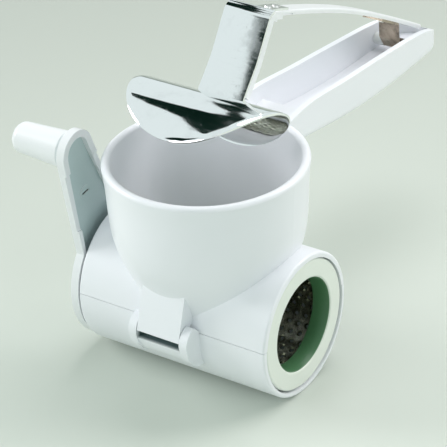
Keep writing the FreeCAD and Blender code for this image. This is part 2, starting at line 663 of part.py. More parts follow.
def lever_handle():
    tang_seat = seat_cut(TANG_CROOK, TANG_END, LEVER_TOP[0][0] - 1, TANG_END[0] + 0.3, 1)
    lug_seat = seat_cut(LUG_START, LUG_HEEL, LUG_START[0] - 0.3, LUG_HEEL[0] + 3, -1)
    mark = box(LEVER_HALF - 0.4, LEVER_HALF + 1, MARK_Y[0], MARK_Y[1], MARK_Z[0], MARK_Z[1])
    bar = lever_bar().cut([tang_seat, lug_seat]).fuse(lever_root()).removeSplitter()
    return bar.cut([mark] + lever_rivet_shanks(SEAT_FIT))


def lever_rivet_shanks(extra):
    """Shanks of the three rivets: two down through the tang and one up through the lug."""
    shanks = []
    for y, a, b, side in lever_rivet_places():
        normal = slope_normal(a, b) * side
        outside = V(0, y, height_on(a, b, y)) + normal * (STRIP_THICK / 2)
        length = STRIP_THICK + LEVER_RIVET_GRIP + extra
        shanks.append(Part.makeCylinder(LEVER_RIVET_R + extra, length, outside, normal * -1))
    return shanks


def lever_rivet_places():
    places = [(y, TANG_CROOK, TANG_END, 1) for y in TANG_RIVETS_Y]
    return places + [(LUG_RIVET_Y, LUG_START, LUG_HEEL, -1)]


def lever_rivets():
    rivets = []
    for shank, (y, a, b, side) in zip(lever_rivet_shanks(0), lever_rivet_places()):
        normal = slope_normal(a, b) * side
        outside = V(0, y, height_on(a, b, y)) + normal * (STRIP_THICK / 2)
        head = Part.makeCylinder(LEVER_RIVET_HEAD_R, LEVER_RIVET_HEAD, outside, normal)
        rivets.append(shank.fuse(head).removeSplitter())
    return Part.makeCompound(rivets)


def swept_strip(path, half, near, far):
    """Flat band along a wire in the YZ plane, between two offsets from it."""
    edge = path.Edges[0]
    start = edge.valueAt(edge.FirstParameter)
    tangent = edge.tangentAt(edge.FirstParameter)
    normal = V(0, -tangent.z, tangent.y)
    side = V(half, 0, 0)
    corners = [start - side + normal * near, start + side + normal * near]
    corners += [start + side + normal * far, start - side + normal * far]
    return path.makePipeShell([Part.makePolygon(corners + corners[:1])], True, False)


def arm_path(end):
    foot_front = on_circle(PLATE_OUT_R + STRIP_THICK / 2, ARM_FOOT_FRONT_DEG)
    corners = [foot_front] + [yz(p) for p in (ARM_KNEE, ARM_SHOULDER, TANG_CROOK, end)]
    return bent_path(corners, [30.0, 5.0, 15.0])


def narrowing_plan(wide_y, narrow_y, narrow_half):
    """Prism that is as wide as the arm in front of wide_y and narrow behind narrow_y."""
    half = [V(STRIP_HALF, -BIG, 0), V(STRIP_HALF, wide_y, 0), V(narrow_half, narrow_y, 0)]
    half.append(V(narrow_half, BIG, 0))
    mirrored = [V(-point.x, point.y, 0) for point in half[::-1]]
    outline = half + mirrored
    return Part.Face(Part.makePolygon(outline + outline[:1])).extrude(V(0, 0, BIG))


def pivot_lug():
    """Bent strip under the lever's rear end, curled round the pivot pin."""
    path = bent_path([yz(p) for p in (LUG_START, LUG_HEEL, LUG_TOE, LUG_END)], [2.0, 1.6])
    inner = PIVOT_PIN_R + RUNNING_FIT
    curl = rod_x(inner + LUG_CURL, -LUG_HALF, LUG_HALF, PIVOT_Y, PIVOT_Z)
    bore = rod_x(inner, -BIG, BIG, PIVOT_Y, PIVOT_Z)
    band = swept_strip(path, LUG_HALF, -STRIP_THICK / 2, STRIP_THICK / 2)
    lug = band.fuse(curl).removeSplitter()
    return lug.cut([bore] + lever_rivet_shanks(SEAT_FIT))


def bent_path(points, radii):
    """Straight runs joined by tangent arcs, as one wire in the YZ plane."""
    edges = []
    start = points[0]
    for index, radius in enumerate(radii, 1):
        corner = points[index]
        back = (points[index - 1] - corner).normalize()
        ahead = (points[index + 1] - corner).normalize()
        half_turn = back.getAngle(ahead) / 2
        reach = radius / math.tan(half_turn)
        bisector = (back + ahead).normalize()
        middle = corner + bisector * (radius / math.sin(half_turn) - radius)
        a = corner + back * reach
        b = corner + ahead * reach
        edges += [line(start, a), arc(a, middle, b)]
        start = b
    edges.append(line(start, points[-1]))
    return Part.Wire(edges)


def press_arm():
    """Polished strip: curved foot, rising arm, and a tang that narrows on to the lever."""
    strip = swept_strip(arm_path(TANG_END), STRIP_HALF, -STRIP_THICK / 2, STRIP_THICK / 2)
    prism = narrowing_plan(ARM_SHOULDER[0] + 2.5, ARM_SHOULDER[0] + 10.0, TANG_HALF)
    foot = ring_x(PLATE_OUT_R + STRIP_THICK, PLATE_OUT_R, -STRIP_HALF, STRIP_HALF)
    wedge = [V(0, 0, 0), on_circle(BIG, ARM_FOOT_BACK_DEG), on_circle(BIG, ARM_FOOT_FRONT_DEG + 1)]
    foot = foot.common(side_plate([line(a, b) for a, b in zip(wedge, wedge[1:] + wedge[:1])], -BIG, BIG))
    arm = strip.common(prism).cut(rod_x(PLATE_OUT_R, -BIG, BIG)).fuse(foot).removeSplitter()
    return arm.cut([rivet_hole(x) for x in (-RIVET_X, RIVET_X)] + lever_rivet_shanks(SEAT_FIT))


def plate_edge(radius):
    """Ellipse wrapped round the barrel axis at the given radius: the outline of the plate."""
    points = []
    for step in range(32):
        angle = math.radians(11.25 * step)
        turn = 90 - PLATE_LEAN_DEG - PLATE_HALF_DEG * math.sin(angle)
        points.append(on_circle(radius, turn) + V(PLATE_HALF_X * math.cos(angle), 0, 0))
    spline = Part.BSplineCurve()
    spline.interpolate(points, PeriodicFlag=True)
    return spline.toShape()


def press_plate():
    """Arched plate with its edge square to the sheet all round."""
    arch = ring_x(PLATE_OUT_R, PLATE_IN_R, -PLATE_HALF_X - 5, PLATE_HALF_X + 5)
    rim = Part.makeRuledSurface(plate_edge(PLATE_IN_R - 2), plate_edge(PLATE_OUT_R + 2))
    pieces = arch.generalFuse([rim])[0].Solids
    plate = max(pieces, key=lambda piece: piece.CenterOfMass.z)
    return plate.cut([rivet_hole(x) for x in (-RIVET_X, RIVET_X)])


def rivet_hole(x):
    direction = on_circle(1.0, RIVET_DEG)
    return Part.makeCylinder(RIVET_R, 12, direction * (PLATE_IN_R - 5) + V(x, 0, 0), direction)


def plate_rivets():
    direction = on_circle(1.0, RIVET_DEG)
    inner = PLATE_IN_R - RIVET_HEAD + 0.15
    outer = PLATE_OUT_R + STRIP_THICK
    rivets = []
    for x in (-RIVET_X, RIVET_X):
        shift = V(x, 0, 0)
        shank = Part.makeCylinder(RIVET_R, outer - inner, direction * inner + shift, direction)
        flat = PLATE_IN_R - 0.02
        low = Part.makeCylinder(RIVET_HEAD_R, flat - inner - 0.1, direction * (inner) + shift, direction)
        high = Part.makeCylinder(RIVET_HEAD_R, RIVET_HEAD, direction * outer + shift, direction)
        between = ring_x(PLATE_OUT_R + STRIP_THICK, PLATE_IN_R, -BIG, BIG).cut(shank)
        body = shank.fuse([low, high]).cut(between)
        rivets.append(body.removeSplitter())
    return Part.makeCompound(rivets)


# ---- pins ----
def pivot_pin_ends():
    """The pin goes in from the crank side and stops inside the other wall."""
    half = handle_half_at(PIVOT_Y)
    return -half, half - HANDLE_WALL / 2


def lever_pivot_pin():
    x0, x1 = pivot_pin_ends()
    return rod_x(PIVOT_PIN_R - SEAT_FIT, x0 + 0.2, x1 - 0.1, PIVOT_Y, PIVOT_Z)


def pivot_spacers():
    """Two sleeves on the pin that keep the narrow lever in the middle of the channel."""
    inner_wall = handle_half_at(PIVOT_Y) - HANDLE_WALL
    sleeves = []
    for side in (-1, 1):
        a = side * (LUG_HALF + 0.15)
        b = side * (inner_wall - 0.1)
        sleeves.append(ring_x(SPACER_R, PIVOT_PIN_R + RUNNING_FIT, min(a, b), max(a, b), PIVOT_Y, PIVOT_Z))
    return Part.makeCompound(sleeves)


def shell_hinge_pin():
    return rod_x(HINGE_PIN_R, -HINGE_OUTER_HALF, HINGE_OUTER_HALF, HINGE_Y, SEAM_Z)


PIECES = {
    "upper_housing": upper_housing,
    "lower_shell": lower_shell,
    "shell_hinge_pin": shell_hinge_pin,
    "lever_pivot_pin": lever_pivot_pin,
    "pivot_spacers": pivot_spacers,
    "crank_bush": crank_bush,
    "drum_sheet": drum_sheet,
    "seam_strip": seam_strip,
    "mouth_ring": mouth_ring,
    "drum_hub": drum_hub,
    "hub_screw": hub_screw,
    "hub_washer": hub_washer,
    "crank_arm": crank_arm,
    "grip_spindle": grip_spindle,
    "grip": grip,
}
PRESS_PIECES = {
    "lever_handle": lever_handle,
    "lever_rivets": lever_rivets,
    "pivot_lug": pivot_lug,
    "press_arm": press_arm,
    "press_plate": press_plate,
    "plate_rivets": plate_rivets,
}


def main():
    os.makedirs("parts", exist_ok=True)
    raised = V(0, 0, AXIS_HEIGHT)
    for name, make in list(PIECES.items()) + list(PRESS_PIECES.items()):
        shape = make()
        if name in PRESS_PIECES:
            shape.rotate(V(0, PIVOT_Y, PIVOT_Z), X_DIR, -PRESS_OPEN)
        shape.translate(raised)
        shape.exportStep("parts/" + name + ".step")
        count = len(shape.Solids)
        print(name, "solids", count, "valid", shape.isValid(), "volume", round(shape.Volume, 1))


main()
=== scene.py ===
# %% [markdown]
# # A rotary drum grater with a squeeze lever
# The tool is a white moulded barrel with a steel grating drum turning inside it. Food drops
# into the round hopper on top, a polished plate presses it on the drum, and one hand squeezes
# the plate's lever against the handle while the other turns the crank.
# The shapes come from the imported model, which is loaded first and never changed. This file
# gives each piece its finish, makes the fine grating of the drum, and sets the light and camera.

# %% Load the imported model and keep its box
import json
import math

import bmesh
import bpy
import numpy as np
from mathutils import Matrix, Vector


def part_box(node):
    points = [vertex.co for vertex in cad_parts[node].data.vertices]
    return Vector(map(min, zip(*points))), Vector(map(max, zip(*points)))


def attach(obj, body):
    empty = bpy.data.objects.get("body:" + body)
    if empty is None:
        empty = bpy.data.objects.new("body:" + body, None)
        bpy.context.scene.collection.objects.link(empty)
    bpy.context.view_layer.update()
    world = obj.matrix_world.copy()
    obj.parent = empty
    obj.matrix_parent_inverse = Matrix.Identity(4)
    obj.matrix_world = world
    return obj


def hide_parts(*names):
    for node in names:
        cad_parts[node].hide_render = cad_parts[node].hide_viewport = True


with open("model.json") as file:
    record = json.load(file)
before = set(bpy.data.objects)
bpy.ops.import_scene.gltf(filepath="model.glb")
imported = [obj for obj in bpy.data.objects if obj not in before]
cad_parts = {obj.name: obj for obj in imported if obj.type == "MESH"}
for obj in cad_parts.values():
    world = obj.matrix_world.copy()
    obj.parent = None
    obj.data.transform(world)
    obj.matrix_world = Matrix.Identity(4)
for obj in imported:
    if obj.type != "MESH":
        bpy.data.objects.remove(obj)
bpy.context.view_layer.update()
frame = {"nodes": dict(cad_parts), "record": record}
nodes = frame["nodes"]
MM = 0.001

# %% [markdown]
# ## Writing materials as sums
# A shader is a graph of nodes, but most of what it works out is arithmetic: a mask times a
# depth, one minus a noise. Wrapping a socket in a small class with Python's operators lets the
# graph be written as that arithmetic, and each operator adds one Math node. Everything else,
# such as a noise or a ramp, comes from one method that takes the node's type, its settings and
# the values or wires of its sockets.

# %% Wires and recipes
class Wire:
    """The output of a node; sums on it add Math nodes to the same recipe."""

    def __init__(self, recipe, socket):
        self.recipe = recipe
        self.socket = socket

    def sum(self, operation, *values):
        sockets = {index: value for index, value in enumerate(values)}
        return self.recipe.add("ShaderNodeMath", {"operation": operation}, sockets)

    def __add__(self, other):
        return self.sum("ADD", self, other)

    def __sub__(self, other):
        return self.sum("SUBTRACT", self, other)

    def __mul__(self, other):
        return self.sum("MULTIPLY", self, other)

    def __truediv__(self, other):
        return self.sum("DIVIDE", self, other)

    def __pow__(self, other):
        return self.sum("POWER", self, other)

    def __rsub__(self, other):
        return self.sum("SUBTRACT", other, self)

    def __rtruediv__(self, other):
        return self.sum("DIVIDE", other, self)

    __radd__ = __add__
    __rmul__ = __mul__


class Recipe:
    """One material while it is being written."""

    def __init__(self, name):
        self.material = bpy.data.materials.new(name)
        self.material.use_nodes = True
        self.tree = self.material.node_tree
        self.tree.nodes.clear()
        self.place = self.add("ShaderNodeTexCoord", out="Object")

    def add(self, kind, settings=None, sockets=None, out=0):
        """Add a node: its settings first, then the values or wires of its sockets."""
        node = self.tree.nodes.new(kind)
        for key, value in (settings or {}).items():
            if key == "stops":
                self.set_stops(node.color_ramp, value)
            else:
                setattr(node, key, value)
        for key, value in (sockets or {}).items():
            if isinstance(value, Wire):
                self.tree.links.new(value.socket, node.inputs[key])
            else:
                node.inputs[key].default_value = value
        return Wire(self, node.outputs[out])

    @staticmethod
    def set_stops(ramp, stops):
        while len(ramp.elements) < len(stops):
            ramp.elements.new(0.5)
        for element, (position, colour) in zip(ramp.elements, stops):
            element.position = position
            element.color = (*colour, 1.0)

    def noise(self, scale, detail=2.0, roughness=0.5, vector=None):
        sockets = {"Scale": scale, "Detail": detail, "Roughness": roughness,
                   "Vector": vector or self.place}
        return self.add("ShaderNodeTexNoise", {}, sockets, "Fac")

    def stretched(self, scale, turn=(0, 0, 0)):
        """Object coordinates squeezed by a different amount along each axis."""
        sockets = {"Vector": self.place, "Scale": scale, "Rotation": turn}
        return self.add("ShaderNodeMapping", {}, sockets)

    def between(self, value, low, high, to_low=0.0, to_high=1.0):
        """Smooth step: to_low below low, to_high above high."""
        sockets = {"Value": value, "From Min": low, "From Max": high,
                   "To Min": to_low, "To Max": to_high}
        return self.add("ShaderNodeMapRange", {"interpolation_type": "SMOOTHSTEP"}, sockets)

    def mix(self, factor, a, b):
        sockets = {"Factor": factor, "A": a, "B": b}
        node = self.tree.nodes.new("ShaderNodeMix")
        node.data_type = "RGBA"
        for key, index in (("Factor", 0), ("A", 6), ("B", 7)):
            value = sockets[key]
            if isinstance(value, Wire):
                self.tree.links.new(value.socket, node.inputs[index])
            else:
                node.inputs[index].default_value = value if key == "Factor" else (*value, 1.0)
        return Wire(self, node.outputs[2])

    def bump(self, height, distance, strength=1.0, normal=None):
        sockets = {"Height": height, "Distance": distance, "Strength": strength}
        if normal is not None:
            sockets["Normal"] = normal
        return self.add("ShaderNodeBump", {}, sockets)

    def finish(self, **surface):
        """Principled surface, with underscores for the spaces in its socket names."""
        sockets = {key.replace("_", " "): value for key, value in surface.items()}
        shader = self.add("ShaderNodeBsdfPrincipled", {}, sockets)
        self.add_output(shader)
        return self.material

    def add_output(self, shader):
        node = self.tree.nodes.new("ShaderNodeOutputMaterial")
        self.tree.links.new(shader.socket, node.inputs["Surface"])


print("recipe helper ready")

# %% [markdown]
# ## White moulded plastic
# The housing, shell, crank and lever are glossy white mouldings. Such a surface is never one
# even value: the polish of the mould leaves a slow unevenness that bends reflections, the
# plastic has a fine grain, hands leave faint smears that change the gloss, and dust greys it in
# patches. Each is a noise of its own size on Object coordinates, so it stays put when the
# piece moves. Drawing them by hand would only suit one view.
# Three places get painted shade: the crank's sunk face, the mark in it, and the slot under the catch.
# Each is a field, a share between 0 and 1 worked out from the place alone, with its own tone of shade.

# %% Plastic finishes
def moulded(name, tint, shade, gloss, grain, coat, fields=()):
    """White plastic: tint and shade are its light and dark tone, gloss its lowest roughness."""
    r = Recipe(name)
    cloud = r.noise(14.0, 2.0, 0.5)
    smear = r.noise(1.0, 2.0, 0.5, r.stretched((34.0, 14.0, 24.0), (0.3, 0.2, 0.5)))
    speck = r.noise(2600.0, 1.0)
    hairline = r.noise(1.0, 2.0, 0.5, r.stretched((900.0, 60.0, 500.0), (0.1, 0.5, 0.8)))
    scratch = r.between(hairline, 0.72, 0.8)
    dust = r.between(cloud * 0.6 + smear * 0.4, 0.3, 0.72)
    colour = r.mix(dust * 0.3 + scratch * 0.06, tint, shade)
    # Each field mixes painted shade into the colour at its place.
    for field in fields:
        mask, tone = field(r)
        colour = r.mix(mask, colour, tone)
    rough = gloss + dust * 0.03 + r.between(smear, 0.35, 0.75) * 0.04 + scratch * 0.08
    sink = r.bump(r.noise(30.0, 0.0), 0.00012, 0.25)
    skin = r.bump(speck + scratch * -0.8, grain, 0.35, sink)
    return r.finish(Base_Color=colour, Roughness=rough, Normal=skin, IOR=1.49, Coat_Weight=coat,
                    Coat_Roughness=0.12, Specular_IOR_Level=0.5)


def sunk_face_painted_shade(r):
    """The crank's sunk face, which looks along +x and lies deeper than the rim, gets painted shade."""
    along = r.add("ShaderNodeSeparateXYZ", None, {0: r.place}, "X")
    facing = r.add("ShaderNodeSeparateXYZ", None, {0: r.add("ShaderNodeTexCoord", out="Normal")}, "X")
    deep = 1 - r.between(along, CRANK_RIM_X - 1.3 * MM, CRANK_RIM_X - 0.9 * MM)
    return deep * r.between(facing, 0.6, 0.9), SUNK_SHADE_TONE


def mark_painted_shade(r):
    """Painted shade inside the short slot in the sunk face: a ball about its middle, cut to its depth.
    """
    away = r.add("ShaderNodeVectorMath", {"operation": "DISTANCE"}, {0: r.place, 1: CRANK_MARK}, "Value")
    along = r.add("ShaderNodeSeparateXYZ", None, {0: r.place}, "X")
    below = 1 - r.between(along, CRANK_RIM_X - 2.6 * MM, CRANK_RIM_X - 2.52 * MM)
    above_back = r.between(along, CRANK_RIM_X - 3.9 * MM, CRANK_RIM_X - 3.7 * MM)
    near = 1 - r.between(away, CRANK_MARK_REACH, CRANK_MARK_REACH + 0.3 * MM)
    return below * above_back * near, MARK_SHADE_TONE


def catch_slot_painted_shade(r):
    """Painted shade in the slot under the catch's tongue: a box between the two cheeks, deepest towards
    its back.
    """
    x, y, z = (r.add("ShaderNodeSeparateXYZ", None, {0: r.place}, axis) for axis in "XYZ")
    across = r.between(x, -CATCH_HALF - EDGE, -CATCH_HALF)
    across = across * (1 - r.between(x, CATCH_HALF, CATCH_HALF + EDGE))
    under = r.between(z, CATCH_FLOOR_Z - 0.3 * MM, CATCH_FLOOR_Z)
    under = under * (1 - r.between(z, 33.2 * MM, 35.0 * MM))
    inner = r.between(y, -43.6 * MM, -41.0 * MM, 0.25, 1.0) * r.between(y, -44.6 * MM, -44.2 * MM)
    return across * under * inner, CATCH_SHADE_TONE


CRANK_RIM_X = -51.7 * MM
CRANK_MARK = (-54.6 * MM, -18.8 * MM, 81.9 * MM)
CRANK_MARK_REACH = 2.6 * MM
# Tones of painted shade for the crank's sunk face and the mark in it.
SUNK_SHADE_TONE = (0.53, 0.64, 0.645)
MARK_SHADE_TONE = (0.03, 0.04, 0.04)
CATCH_HALF, CATCH_FLOOR_Z = 11.6 * MM, 31.3 * MM
EDGE = 0.2 * MM
# Tone of painted shade for the slot under the catch.
CATCH_SHADE_TONE = (0.1, 0.16, 0.16)
BODY_TINT = (0.865, 0.88, 0.92)
BODY_SHADE = (0.8, 0.83, 0.86)
finishes = {}
finishes["white_body"] = moulded("white_body_gloss", BODY_TINT, BODY_SHADE, 0.285, 0.00002, 0.15,
                                 (catch_slot_painted_shade,))
finishes["white_crank"] = moulded("white_crank_gloss", (0.84, 0.86, 0.88), (0.785, 0.805, 0.82),
                                  0.285, 0.000015, 0.25, (sunk_face_painted_shade, mark_painted_shade))
finishes["white_ring"] = moulded("white_ring_satin", (0.8, 0.845, 0.78), (0.74, 0.79, 0.72),
                                 0.33, 0.00002, 0.05)
finishes["white_trim"] = moulded("white_trim_matt", (0.74, 0.76, 0.75), (0.66, 0.69, 0.68),
                                 0.42, 0.00003, 0.0)
# Dark green for the sleeve of painted shade inside the mouth.
finishes["green_liner"] = moulded("green_liner_satin", (0.07, 0.19, 0.085), (0.045, 0.125, 0.055),
                                  0.34, 0.00003, 0.0)
print("plastics", sorted(finishes))

# %% [markdown]
# ## Polished and brushed steel
# The plate and its arm are polished until they mirror the room, so their look is the look of what
# they reflect. A perfect mirror reads as computer made: real polish has a slow ripple, faint
# wiping lines and dull fingerprints, so the roughness and a tiny bump carry those.
# The drum is punched from thin sheet with the rolling lines running round it, the pins and screws
# are plain turned steel, and the lug at the handle's far end has a painted reflection: a brown
# tone with dark patches laid into its colour.

# %% Metal finishes
def polished(name, tint):
    """Mirror polish with wiping lines, dull prints and a slow ripple."""
    r = Recipe(name)
    ripple = r.noise(38.0, 2.0, 0.4)
    lines = r.noise(1.0, 3.0, 0.6, r.stretched((120.0, 1500.0, 1500.0), (0.0, 0.0, 0.12)))
    prints = r.between(r.noise(60.0, 5.0, 0.62), 0.5, 0.72)
    pits = r.between(r.noise(900.0, 1.0), 0.72, 0.8)
    colour = r.mix(prints * 0.5 + pits * 0.3, tint, tuple(value * 0.86 for value in tint))
    rough = 0.035 + prints * 0.06 + r.between(lines, 0.5, 0.75) * 0.04 + pits * 0.08
    wave = r.bump(ripple, 0.0002, 0.3)
    skin = r.bump(lines + pits * -1.0, 0.000006, 0.5, wave)
    return r.finish(Base_Color=colour, Roughness=rough, Normal=skin, Metallic=1.0)


def sheet_steel(name, tint, stain_and_painted_reflection, gloss, run):
    """Rolled sheet: fine lines along the run, darker patches, dull patches. The darker patches are
    stains on the drum, pins and screws, and painted reflection on the lug.
    """
    r = Recipe(name)
    lines = r.noise(1.0, 3.0, 0.65, r.stretched(run))
    patch = r.between(r.noise(85.0, 4.0, 0.6), 0.4, 0.68)
    film = r.between(r.noise(300.0, 3.0, 0.6), 0.5, 0.7)
    colour = r.mix(patch * 0.7 + film * 0.3, tint, stain_and_painted_reflection)
    rough = gloss + patch * 0.05 + r.between(lines, 0.4, 0.7) * 0.05
    skin = r.bump(lines, 0.00001, 0.6, r.bump(patch, 0.00008, 0.3))
    return r.finish(Base_Color=colour, Roughness=rough, Normal=skin, Metallic=1.0)


finishes["press_chrome"] = polished("press_polish", (0.93, 0.945, 0.94))
finishes["drum_steel"] = sheet_steel("drum_sheet_steel", (0.6, 0.61, 0.52), (0.13, 0.14, 0.07), 0.16,
                                     (2400.0, 90.0, 90.0))
finishes["steel_pins"] = sheet_steel("turned_pin_steel", (0.66, 0.66, 0.64), (0.5, 0.5, 0.47), 0.28,
                                     (2600.0, 120.0, 120.0))
finishes["screw_steel"] = sheet_steel("screw_head_steel", (0.7, 0.7, 0.68), (0.52, 0.52, 0.5), 0.28,
                                      (300.0, 1900.0, 300.0))
# The lug's brown tone and dark patches are a painted reflection of beige and black surroundings.
finishes["lug_chrome"] = sheet_steel("lug_dulled_chrome", (0.5, 0.42, 0.33), (0.12, 0.1, 0.08),
                                     0.16, (400.0, 900.0, 900.0))
print("metals", [name for name in finishes if "steel" in name or "chrome" in name])

# %% Give every node the finish of its material slot, and the lug its painted reflection
OWN_FINISH = {"pivot_lug": "lug_chrome"}
for row in frame["record"]["subparts"]:
    piece = nodes[row["node"]]
    piece.data.materials.clear()
    finish = OWN_FINISH.get(row["node"], row["material_slot"])
    piece.data.materials.append(finishes[finish])
print("dressed", len(nodes), "nodes")

# %% [markdown]
# ## Small helpers for new pieces
# Every new piece is a closed mesh. Its faces have to look outwards, its sharp edges stay sharp,
# and it has to be told which moving body it rides on.

# %% Rings, outward faces and riding
def ring_faces(ring_count, points):
    """Quads between neighbouring closed rings."""
    ring, point = np.meshgrid(np.arange(ring_count - 1), np.arange(points), indexing="ij")
    after = (point + 1) % points
    quads = [ring * points + point, ring * points + after,
             (ring + 1) * points + after, (ring + 1) * points + point]
    return np.stack(quads, axis=-1).reshape(-1, 4)


def outward(mesh, sharp):
    """Point the faces of a closed mesh outwards and smooth all but its sharp edges."""
    work = bmesh.new()
    work.from_mesh(mesh)
    bmesh.ops.recalc_face_normals(work, faces=work.faces)
    open_edges = sum(1 for edge in work.edges if not edge.is_manifold)
    work.to_mesh(mesh)
    work.free()
    for polygon in mesh.polygons:
        polygon.use_smooth = True
    mesh.set_sharp_from_angle(angle=math.radians(sharp))
    return open_edges


def placed(name, mesh, body):
    """Object of the mesh that rides on a body."""
    piece = bpy.data.objects.new(name, mesh)
    bpy.context.scene.collection.objects.link(piece)
    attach(piece, body)
    return piece


print("mesh helpers ready")

# %% [markdown]
# ## The grating drum
# The drum is a rolled sheet with hundreds of small raised teeth: a punch pushes the metal up
# round each hole and leaves a sharp rim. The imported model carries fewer, larger holes, which is
# enough for size and weight. Here the sheet is made again with finer teeth, set closer together.
# Cutting holes in a tube with a Boolean for each tooth would be slow and leave poor faces.
# Instead the sheet is tiled with six-sided cells. One cell is six rings of twelve points, from
# the border of the tile up to the rim of the hole and back down inside, and every tile is the
# same cell moved and wrapped round the axis, all in one array.

# %% Lay out the tiles
drum_low, drum_high = (np.array(corner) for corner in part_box("drum_sheet"))
AXIS_Z = 0.5 * (drum_low[2] + drum_high[2])
DRUM_R = 29.0 * MM
SHEET = 0.5 * MM
TOOTH_RISE = 0.75 * MM
PITCH = 4.9 * MM
ROWS_ROUND = 42
ROW_STEP = 2 * math.pi * DRUM_R / ROWS_ROUND
PLAIN_END = 1.9 * MM
TOOTH_RINGS, TOOTH_POINTS = 6, 12
length = drum_high[0] - drum_low[0]
per_row = int((length - 2 * PLAIN_END) / PITCH)
first_x = 0.5 * (drum_low[0] + drum_high[0]) - 0.5 * per_row * PITCH
last_x = first_x + per_row * PITCH
print("holes in a row", per_row, "rows", ROWS_ROUND)


def tile_border():
    """Twelve points round a six-sided tile: its corners and the middles of its sides."""
    half, third = PITCH / 2, ROW_STEP / 3
    corners = np.array([(half, -third), (half, third), (0, 2 * third), (-half, third),
                        (-half, -third), (0, -2 * third)])
    middles = (corners + np.roll(corners, -1, axis=0)) / 2
    return np.stack([corners, middles], axis=1).reshape(TOOTH_POINTS, 2)


def tooth_rings():
    """Rings of one tooth as (along, round, height): border, foot, rim, and the same inside."""
    border = tile_border()
    angle = np.arctan2(border[:, 1], border[:, 0])
    foot = 1.72 * MM * np.stack([np.cos(angle), np.sin(angle)], axis=1)
    rim = 0.98 * MM * np.stack([1.12 * np.cos(angle), np.sin(angle)], axis=1)
    burr = 0.1 * MM * np.cos(3 * angle + 0.5)
    flat = np.zeros(TOOTH_POINTS)
    rings = [(border, flat), (foot, flat + 0.06 * MM), (rim, flat + TOOTH_RISE + burr),
             (rim * 0.9, flat + TOOTH_RISE + burr - 0.35 * SHEET), (foot * 0.86, flat - SHEET),
             (border, flat - SHEET)]
    return np.array([np.column_stack([place, height]) for place, height in rings])


# %% Repeat the tooth over the sheet
def all_teeth():
    """Every tooth: tile centres plus the rings; odd rows are half a pitch along, one hole less."""
    rings = tooth_rings().reshape(-1, 3)
    centres = []
    for row in range(ROWS_ROUND):
        odd = row % 2
        along = first_x + PITCH * (np.arange(per_row - odd) + 0.5 + 0.5 * odd)
        centres.append(np.column_stack([along, np.full(len(along), row * ROW_STEP), 0 * along]))
    centres = np.concatenate(centres)
    points = (centres[:, None, :] + rings[None]).reshape(-1, 3)
    faces = ring_faces(TOOTH_RINGS, TOOTH_POINTS)
    shift = len(rings) * np.arange(len(centres))
    return points, (shift[:, None, None] + faces[None]).reshape(-1, 4)


def edge_strips():
    """Plain border at both ends, and the half tiles that the odd rows leave there."""
    third = ROW_STEP / 3
    points, faces = [], []
    for end_x, border_x, side in ((drum_low[0], first_x, 1), (drum_high[0], last_x, -1)):
        for row in range(ROWS_ROUND):
            s = row * ROW_STEP
            reach = (2 * third, 0.0, -2 * third) if row % 2 else (third, 0.0, -third)
            outline = [(end_x, s + r) for r in reach[::-1]] + [(border_x, s + r) for r in reach]
            if row % 2:
                inner = border_x + side * PITCH / 2
                middle = border_x + side * PITCH / 4
                outline = outline[:4] + [(middle, s + ROW_STEP / 2), (inner, s + third), (inner, s),
                                         (inner, s - third), (middle, s - ROW_STEP / 2)] + outline[5:]
            for height in (0.0, -SHEET):
                start = len(points)
                points += [(x, along, height) for x, along in outline]
                faces.append(range(start, start + len(outline)))
            lower = len(points) - len(outline)
            upper = lower - len(outline)
            faces += [(upper + k, upper + k + 1, lower + k + 1, lower + k) for k in range(2)]
    return np.array(points), [tuple(face) for face in faces]


tooth_points, tooth_faces = all_teeth()
strip_points, strip_faces = edge_strips()
teeth = len(tooth_points) // (TOOTH_RINGS * TOOTH_POINTS)
print("teeth", teeth, "faces", len(tooth_faces) + len(strip_faces))

# %% Wrap the flat sheet round the axis and weld it
def wrapped(flat):
    """x stays; the way round becomes an angle, and height adds to the radius."""
    angle = flat[:, 1] / DRUM_R
    radius = DRUM_R + flat[:, 2]
    return np.column_stack([flat[:, 0], radius * np.sin(angle), AXIS_Z + radius * np.cos(angle)])


def welded_mesh(name, points, faces):
    """Mesh with equal points made one, so that neighbouring tiles share their borders."""
    keys = np.round(points / (2e-6)).astype(np.int64)
    _, first, same = np.unique(keys, axis=0, return_index=True, return_inverse=True)
    same = same.reshape(-1)
    kept = []
    for face in faces:
        loop = [int(same[index]) for index in face]
        if len(set(loop)) == len(loop):
            kept.append(loop)
    mesh = bpy.data.meshes.new(name)
    mesh.from_pydata(points[first].tolist(), [], kept)
    mesh.validate()
    return mesh


flat = np.concatenate([tooth_points, strip_points])
faces = tooth_faces.tolist() + [[index + len(tooth_points) for index in face] for face in strip_faces]
drum_mesh = welded_mesh("drum_grating", wrapped(flat), faces)
print("drum vertices", len(drum_mesh.vertices), "faces", len(drum_mesh.polygons))

# %% Turn its faces outwards and let it ride on the rotor
drum_mesh.materials.append(finishes["drum_steel"])
print("open edges", outward(drum_mesh, 38))
drum = placed("drum_grating", drum_mesh, "rotor")
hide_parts("drum_sheet")

# %% [markdown]
# ## Painted shade inside the mouth
# Behind the pale ring a dark green sleeve reaches a little way into the drum. It is painted
# shade: a dark sheet that stands for the deep shade inside the mouth. It is a turned shape: a
# short profile carried once round the drum's axis. A cylinder with its middle cut out would give
# the same, but the profile states the taper in a few numbers.

